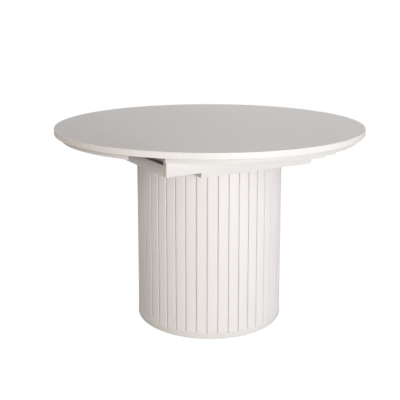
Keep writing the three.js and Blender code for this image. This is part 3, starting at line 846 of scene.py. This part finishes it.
def drum_tree():
    tree = Tree("ring_of_bays", [("Count", "Int"), ("First", "Float"), ("Finish", "Material")])
    count = tree.given("Count")
    points = tree.node("GeometryNodePoints", None, {"Count": count})
    index = tree.node("GeometryNodeInputIndex")
    share = tree.node("ShaderNodeMath", {"operation": "DIVIDE"}, {0: index.outputs[0], 1: count})
    turn = tree.node(
        "ShaderNodeMath", {"operation": "MULTIPLY_ADD"},
        {0: share.outputs[0], 1: 2 * math.pi, 2: tree.given("First")},
    )
    facing = tree.node("ShaderNodeCombineXYZ", None, {"Z": turn.outputs[0]})
    rotation = tree.node("FunctionNodeEulerToRotation", None, {0: facing.outputs[0]})
    ring = tree.node(
        "GeometryNodeInstanceOnPoints", None,
        {
            "Points": points.outputs[0],
            "Instance": tree.given("Geometry"),
            "Rotation": rotation.outputs[0],
        },
    )
    solid = tree.node("GeometryNodeRealizeInstances", None, {0: ring.outputs[0]})
    merged = tree.node(
        "GeometryNodeMergeByDistance", None, {"Geometry": solid.outputs[0], "Distance": 0.02 * MM}
    )
    painted = tree.node(
        "GeometryNodeSetMaterial", None,
        {"Geometry": merged.outputs[0], "Material": tree.given("Finish")},
    )
    tree.finish(painted.outputs[0])
    return tree


drum = to_object("slatted_drum", bay_mesh())
drum_tree().put_on(drum, Count=SLAT_COUNT, First=FIRST_GROOVE, Finish=drum_paint)
freeze(drum)
flat_where_flat(drum.data, 50)
seat(drum, panel_nodes, "body_paint")
print("drum:", len(drum.data.polygons), "faces")

# %% [markdown]
# ## The plinth
# A disc of board closes the drum at the floor, with both corners rounded. Four blind holes in
# its underside take the glides' stems.

# %% Turn the plinth
PLINTH_ROUND = 1.5 * MM
STEM_HOLE_RADIUS = 4.3 * MM
STEM_HOLE_SPARE = 0.4 * MM  # past the stem's end

plinth_profile = rounded_profile(PLINTH_RADIUS, plinth_low.z, plinth_high.z, PLINTH_ROUND)
work = turned(plinth_profile, RIM_STEPS)
plinth = to_object("plinth_turned", finished(work, "plinth_turned"), board_paint)
for glide in named("glide_"):
    low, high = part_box(glide)
    middle = (low + high) / 2
    drill_up(plinth, (middle.x, middle.y, 0), STEM_HOLE_RADIUS, high.z + STEM_HOLE_SPARE)
flat_where_flat(plinth.data)
seat(plinth, ["plinth"])
print("plinth radius", round(PLINTH_RADIUS, 4))

# %% [markdown]
# ## Pieces that repeat
# Bolts, glides, dowels, hinges and screws each come in sets of the same piece. One is made, and
# a small tree sets a copy at every point of a cloud. Each point says how its copy is turned.

# %% Write the tree that sets copies


def copies_tree():
    tree = Tree("copies_at_points", [("Piece", "Object"), ("Finish", "Material")])
    source = tree.node("GeometryNodeObjectInfo", None, {"Object": tree.given("Piece")})
    turn = tree.node(
        "GeometryNodeInputNamedAttribute", {"data_type": "FLOAT_VECTOR"}, {"Name": "turn"}
    )
    rotation = tree.node("FunctionNodeEulerToRotation", None, {0: turn.outputs[0]})
    placed = tree.node(
        "GeometryNodeInstanceOnPoints", None,
        {
            "Points": tree.given("Geometry"),
            "Instance": source.outputs["Geometry"],
            "Rotation": rotation.outputs[0],
        },
    )
    solid = tree.node("GeometryNodeRealizeInstances", None, {0: placed.outputs[0]})
    painted = tree.node(
        "GeometryNodeSetMaterial", None,
        {"Geometry": solid.outputs[0], "Material": tree.given("Finish")},
    )
    tree.finish(painted.outputs[0])
    return tree


copies = copies_tree()


def set_copies(name, piece, spots, finish):
    """Copies of an object at (place, turn) spots. The object itself goes away."""
    cloud = bpy.data.meshes.new(name)
    cloud.from_pydata([place for place, _ in spots], [], [])
    turns = cloud.attributes.new("turn", "FLOAT_VECTOR", "POINT")
    turns.data.foreach_set("vector", [value for _, turn in spots for value in turn])
    thing = to_object(name, cloud)
    copies.put_on(thing, Piece=piece, Finish=finish)
    freeze(thing)
    bpy.data.objects.remove(piece)
    return thing


def middle_of(node):
    low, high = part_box(node)
    return (low + high) / 2


print("tree:", copies.group.name, "with", len(copies.group.nodes), "nodes")

# %% [markdown]
# The bolts, glides and rest pads keep the joiner's own shape, with their corners eased.

# %% Set bolts, glides and rest pads


def eased_set(name, members, width):
    """Eases the first member and sets it at every member's place."""
    first = members[0]
    finish = FINISHES[slot_of_node[first]]
    piece = to_object(name + "_piece", clean_copy(first, name + "_piece"), finish)
    freeze(ease_edges(piece, width))
    spots = [(middle_of(node) - middle_of(first), (0, 0, 0)) for node in members]
    return seat(set_copies(name, piece, spots, finish), members)


for name, start, width in (
    ("frame_bolts", "frame_bolt_", 0.6 * MM),
    ("felt_glides", "glide_", 0.5 * MM),
    ("rest_pads", "leaf_rest_", 1.5 * MM),
):
    made = eased_set(name, named(start), width)
    print(made.name, len(made.data.polygons), "faces")

# %% [markdown]
# A joiner's dowel has flutes that let the glue out, and both ends are pointed a little so that
# it finds its hole. Its section is drawn as a small gear and drawn out along the dowel.

# %% Set the fluted dowels
FLUTES = 18
FLUTE_DEPTH = 0.35 * MM
POINT_LENGTH = 2.5 * MM
POINT_SHARE = 0.72  # of the radius, at the very end


def dowel_mesh(low, high):
    middle = (low + high) / 2
    radius = (high.z - low.z) / 2
    work = bmesh.new()
    rings = []
    stations = (
        (low.x, POINT_SHARE), (low.x + POINT_LENGTH, 1.0),
        (high.x - POINT_LENGTH, 1.0), (high.x, POINT_SHARE),
    )
    for x, share in stations:
        ring = []
        for i in range(4 * FLUTES):
            angle = 2 * math.pi * i / (4 * FLUTES)
            sunk = FLUTE_DEPTH if i % 4 == 3 else 0.0
            reach = (radius - sunk) * share
            ring.append(work.verts.new((
                x, middle.y + reach * math.cos(angle), middle.z + reach * math.sin(angle)
            )))
        rings.append(ring)
    for near, far in zip(rings, rings[1:]):
        for i in range(len(near)):
            j = (i + 1) % len(near)
            work.faces.new((near[i], near[j], far[j], far[i]))
    work.faces.new(list(reversed(rings[0])))
    work.faces.new(rings[-1])
    return finished(work, "fluted_dowel")


dowel_nodes = ["front_seam_dowel", "rear_seam_dowel"]
dowel = to_object("dowel_piece", dowel_mesh(*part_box(dowel_nodes[0])), beech)
flat_where_flat(dowel.data, 30)
spots = [(middle_of(node) - middle_of(dowel_nodes[0]), (0, 0, 0)) for node in dowel_nodes]
dowels = seat(set_copies("seam_dowels", dowel, spots, beech), dowel_nodes)
print(dowels.name, len(dowels.data.polygons), "faces")

# %% [markdown]
# ## The leaf's hinges
# Each hinge is two pressed plates with five knuckles round one pin. The plates lie in their
# pocket across the joint of the two panels, and the knuckles stand just proud of the edge.

# %% Set the leaf hinges
KNUCKLES = 5
KNUCKLE_SPLIT = 0.35 * MM
KNUCKLE_RADIUS = 3.2 * MM
PIN_RADIUS = KNUCKLE_RADIUS * 0.55
HINGE_FACE = -300 * MM  # where the plates face the front, along Y
HINGE_CORNER = 1.6 * MM


def hinge_mesh(low, high):
    axis_z = (low.z + high.z) / 2
    axis_y = low.y + KNUCKLE_RADIUS
    length = high.x - low.x
    work = bmesh.new()
    for z0, z1 in ((low.z, axis_z - KNUCKLE_SPLIT / 2), (axis_z + KNUCKLE_SPLIT / 2, high.z)):
        size = Matrix.Diagonal((length, high.y - HINGE_FACE, z1 - z0, 1))
        place = Matrix.Translation((low.x + length / 2, (HINGE_FACE + high.y) / 2, (z0 + z1) / 2))
        box = bmesh.ops.create_cube(work, size=1, matrix=place @ size)
        upright = [
            edge for edge in {e for v in box["verts"] for e in v.link_edges}
            if abs(edge.verts[0].co.y - edge.verts[1].co.y) > 1 * MM
        ]
        bmesh.ops.bevel(work, geom=upright, offset=HINGE_CORNER, segments=4, affect="EDGES")
    step = length / KNUCKLES
    for i in range(KNUCKLES):
        start = low.x + i * step + KNUCKLE_SPLIT / 2
        along_x(work, KNUCKLE_RADIUS, start, start + step - KNUCKLE_SPLIT, axis_y, axis_z)
    along_x(work, PIN_RADIUS, low.x, high.x, axis_y, axis_z, 20)
    return finished(work, "hinge")


hinge_nodes = ["leaf_hinge_left", "leaf_hinge_right"]
hinge = to_object("hinge_piece", hinge_mesh(*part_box(hinge_nodes[0])), steel)
flat_where_flat(hinge.data)
spots = [(middle_of(node) - middle_of(hinge_nodes[0]), (0, 0, 0)) for node in hinge_nodes]
hinges = seat(set_copies("leaf_hinges", hinge, spots, steel), hinge_nodes)
print(hinges.name, len(hinges.data.polygons), "faces")

# %% [markdown]
# ## Pressed steel
# Latches, pivots and runners are cut and folded from sheet. Their corners are tumbled, so they
# only need a fine bevel. A latch's lever sweeps close over its plate, so the screws there are
# sunk in the plate and each one needs a round recess.

# %% Ease the pressed parts
SCREW_RADIUS = 3.4 * MM
LATCH_PLATE = 2.2 * MM
LATCH_SCREW_SPREAD = 8.5 * MM
LATCH_SCREW_INSET = 5 * MM
RECESS_DEPTH = 1.6 * MM
RECESS_RADIUS = SCREW_RADIUS * 1.04
TUMBLED = 0.22 * MM
PRESSED = named(("latch_", "leaf_pivot_", "inner_", "outer_"))


def latch_screws(node):
    """Where two screws meet the underside of a latch's plate or catch."""
    low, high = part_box(node)
    x = high.x - LATCH_SCREW_INSET if "catch" in node else low.x + LATCH_SCREW_INSET
    for offset in (-LATCH_SCREW_SPREAD, LATCH_SCREW_SPREAD):
        yield Vector((x, (low.y + high.y) / 2 + offset, high.z - LATCH_PLATE))


for node in PRESSED:
    part = to_object(node + "_pressed", clean_copy(node, node + "_pressed"), steel)
    freeze(ease_edges(part, TUMBLED, 2))
    if node.startswith(("latch_plate_", "latch_catch_")):
        for place in latch_screws(node):
            drill_up(part, place, RECESS_RADIUS, RECESS_DEPTH)
        flat_where_flat(part.data)
    seat(part, [node])
print("pressed parts:", len(PRESSED))

# %% [markdown]
# ## Balls in the runners
# A runner and its slider never touch: two rows of steel balls roll between their flanges, held
# apart by a strip. A tree makes one row from its start, its length and its pitch.

# %% Set the rows of balls
BALL_PITCH = 12 * MM
BALL_RADIUS = 1.45 * MM
STRIP_WIDTH = 4.6 * MM
STRIP_THICK = 0.7 * MM
FLANGE_STEEL = 1.4 * MM


def ball_tree():
    tree = Tree("row_of_balls", [("Pitch", "Float"), ("Radius", "Float"), ("Finish", "Material")])
    line = tree.node("GeometryNodeMeshToCurve", None, {"Mesh": tree.given("Geometry")})
    spaced = tree.node(
        "GeometryNodeCurveToPoints", {"mode": "LENGTH"},
        {"Curve": line.outputs[0], "Length": tree.given("Pitch")},
    )
    ball = tree.node(
        "GeometryNodeMeshIcoSphere", None, {"Radius": tree.given("Radius"), "Subdivisions": 2}
    )
    row = tree.node(
        "GeometryNodeInstanceOnPoints", None,
        {"Points": spaced.outputs["Points"], "Instance": ball.outputs[0]},
    )
    solid = tree.node("GeometryNodeRealizeInstances", None, {0: row.outputs[0]})
    smooth = tree.node("GeometryNodeSetShadeSmooth", None, {"Geometry": solid.outputs[0]})
    painted = tree.node(
        "GeometryNodeSetMaterial", None,
        {"Geometry": smooth.outputs[0], "Material": tree.given("Finish")},
    )
    tree.finish(painted.outputs[0])
    return tree


def row_ends(runner, slider):
    """Both ends of the upper and the lower row between a runner and its slider."""
    low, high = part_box(runner)
    inner_low, inner_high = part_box(slider)
    y = (max(low.y, inner_low.y) + min(high.y, inner_high.y)) / 2
    for z in (
        (high.z - FLANGE_STEEL + inner_high.z) / 2,
        (low.z + FLANGE_STEEL + inner_low.z) / 2,
    ):
        yield Vector((low.x + BALL_PITCH / 2, y, z)), Vector((high.x - BALL_PITCH / 2, y, z))


def strip(work, start, end):
    size = Matrix.Diagonal((end.x - start.x, STRIP_WIDTH, STRIP_THICK, 1))
    bmesh.ops.create_cube(work, size=1, matrix=Matrix.Translation((start + end) / 2) @ size)


balls_in = ball_tree()
for kind in ("inner", "outer"):
    rows = [
        row
        for side in ("front", "rear")
        for row in row_ends(f"{kind}_runner_{side}", f"{kind}_slider_{side}")
    ]
    path = bpy.data.meshes.new(kind + "_balls")
    lines = [(2 * i, 2 * i + 1) for i in range(len(rows))]
    path.from_pydata([point for row in rows for point in row], lines, [])
    balls = to_object(kind + "_balls", path)
    balls_in.put_on(balls, Pitch=BALL_PITCH, Radius=BALL_RADIUS, Finish=steel)
    freeze(balls)
    work = bmesh.new()
    for start, end in rows:
        strip(work, start, end)
    strips = to_object(kind + "_ball_strips", finished(work, kind + "_strips"), steel)
    for thing in (balls, strips):
        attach(thing, body_of_node[f"{kind}_runner_front"])
    print(balls.name, len(balls.data.polygons), "faces")

# %% [markdown]
# ## Screws
# A screw head is a low dome with a cross sunk into it. The same copies tree sets one wherever
# something is fixed: the latches, the leaf's hinges and pivots, and the stiffeners.

# %% Make a screw head and list where screws go
SCREW_RISE = 0.7 * MM
SCREW_SINK = 0.95 * MM  # how far a latch's screws go into their recesses
SCREW_SEAT = 0.6 * MM  # what goes into the surface
SCREW_STEPS = 28
CROSS = (SCREW_RADIUS * 1.15, SCREW_RADIUS * 0.26, 1.1 * MM)  # length, width and depth
HINGE_SCREW_INSET = (8 * MM, 6 * MM)  # along the hinge and across it
LUG_THICK = 2.8 * MM
LUG_INSET = 30 * MM  # from the stored leaf's end
LUG_SCREW_SPREAD = 17 * MM
LUG_SCREW_INSET = 7 * MM
SIDE_SCREW_INSET = 22 * MM  # from a side stiffener's inner edge
SIDE_SCREW_SHARES = (0.2, 0.5, 0.8)
END_SCREW_INSET = 18 * MM  # from an end stiffener's middle, towards the seam
END_SCREW_SHARES = (0.3, 0.5, 0.7)
FLAT_UP = (0, 0, 0)
FLAT_DOWN = (math.pi, 0, 0)
TO_FRONT = (math.pi / 2, 0, 0)


def screw_head():
    """Dome with a cross. It meets the surface at the origin, and its axis points up."""
    profile = [
        (0.0, -SCREW_SEAT),
        (SCREW_RADIUS * 0.7, -SCREW_SEAT),
        (SCREW_RADIUS, 0.0),
        (SCREW_RADIUS * 0.93, SCREW_RISE * 0.55),
        (SCREW_RADIUS * 0.6, SCREW_RISE * 0.93),
        (0.0, SCREW_RISE),
    ]
    work = turned(profile, SCREW_STEPS)
    head = to_object("screw_piece", finished(work, "screw_piece"), steel)
    for turn in (0, math.pi / 2):
        work = bmesh.new()
        place = Matrix.Translation((0, 0, SCREW_RISE)) @ Matrix.Rotation(turn, 4, "Z")
        bmesh.ops.create_cube(work, size=1, matrix=place @ Matrix.Diagonal((*CROSS, 1)))
        carve(head, finished(work, "cross"))
    flat_where_flat(head.data, 40)
    return head


screws = {"base": [], "left_half": [], "right_half": []}
for node in named("latch_plate_") + named("latch_catch_"):
    for place in latch_screws(node):
        screws[body_of_node[node]].append((place + Vector((0, 0, SCREW_SINK)), FLAT_DOWN))
for half in ("left", "right"):
    way = -1 if half == "left" else 1
    low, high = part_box("leaf_hinge_" + half)
    along, across = HINGE_SCREW_INSET
    for x in (low.x + along, (low.x + high.x) / 2, high.x - along):
        for z in (low.z + across, high.z - across):
            screws["base"].append(((x, HINGE_FACE, z), TO_FRONT))
    leaf_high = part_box("leaf_upper_panel")[1]
    lug_x = way * (leaf_high.x - LUG_INSET)
    low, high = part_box("leaf_pivot_" + half)
    for x in (lug_x - LUG_SCREW_SPREAD, lug_x + LUG_SCREW_SPREAD):
        for y in (low.y + LUG_SCREW_INSET, high.y - LUG_SCREW_INSET):
            screws["base"].append(((x, y, leaf_high.z + LUG_THICK), FLAT_UP))
    for side in ("front", "rear"):
        low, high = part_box(f"{half}_{side}_stiffener")
        y = low.y + SIDE_SCREW_INSET if side == "rear" else high.y - SIDE_SCREW_INSET
        for share in SIDE_SCREW_SHARES:
            x = low.x + (high.x - low.x) * share
            screws[half + "_half"].append(((x, y, low.z), FLAT_DOWN))
    low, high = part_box(half + "_end_stiffener")
    x = (low.x + high.x) / 2 - way * END_SCREW_INSET
    for share in END_SCREW_SHARES:
        y = low.y + (high.y - low.y) * share
        screws[half + "_half"].append(((x, y, low.z), FLAT_DOWN))
print({body: len(spots) for body, spots in screws.items()})

# %% Set the screws
for body, spots in screws.items():
    heads = set_copies(body + "_screws", screw_head(), spots, steel)
    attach(heads, body)
    print(heads.name, len(heads.data.polygons), "faces")

# %% [markdown]
# ## The floor
# A pale sheet runs far past the picture. The camera sees it white with only a trace of the
# table's shadow, and the table gets a weak, even bounce from it.

# %% Lay the floor
FLOOR_HALF = 14.0  # metres from the middle to each edge
FLOOR_ALBEDO = 0.40
FLOOR_GLOW = 1.1
SHADOW_SHARE = 0.10

floor_mesh = bpy.data.meshes.new("studio_floor")
corners = [(-1, -1), (1, -1), (1, 1), (-1, 1)]
floor_mesh.from_pydata(
    [(x * FLOOR_HALF, y * FLOOR_HALF, cad_low.z) for x, y in corners], [], [(0, 1, 2, 3)]
)
floor_paint = bpy.data.materials.new("studio_floor")
floor_paint.use_nodes = True
floor_tree = floor_paint.node_tree
floor_tree.nodes.clear()
matte = floor_tree.nodes.new("ShaderNodeBsdfDiffuse")
matte.inputs["Color"].default_value = (FLOOR_ALBEDO, FLOOR_ALBEDO, FLOOR_ALBEDO, 1)
white = floor_tree.nodes.new("ShaderNodeEmission")
white.inputs["Color"].default_value = WHITE
white.inputs["Strength"].default_value = FLOOR_GLOW
seen = floor_tree.nodes.new("ShaderNodeLightPath")
share = floor_tree.nodes.new("ShaderNodeMath")
share.operation = "MULTIPLY"
share.inputs[1].default_value = 1 - SHADOW_SHARE
blend = floor_tree.nodes.new("ShaderNodeMixShader")
floor_out = floor_tree.nodes.new("ShaderNodeOutputMaterial")
floor_tree.links.new(seen.outputs["Is Camera Ray"], share.inputs[0])
floor_tree.links.new(share.outputs[0], blend.inputs["Fac"])
floor_tree.links.new(matte.outputs["BSDF"], blend.inputs[1])
floor_tree.links.new(white.outputs["Emission"], blend.inputs[2])
floor_tree.links.new(blend.outputs["Shader"], floor_out.inputs["Surface"])
floor = to_object("studio_floor", floor_mesh, floor_paint)
print("floor at", round(cad_low.z, 4))
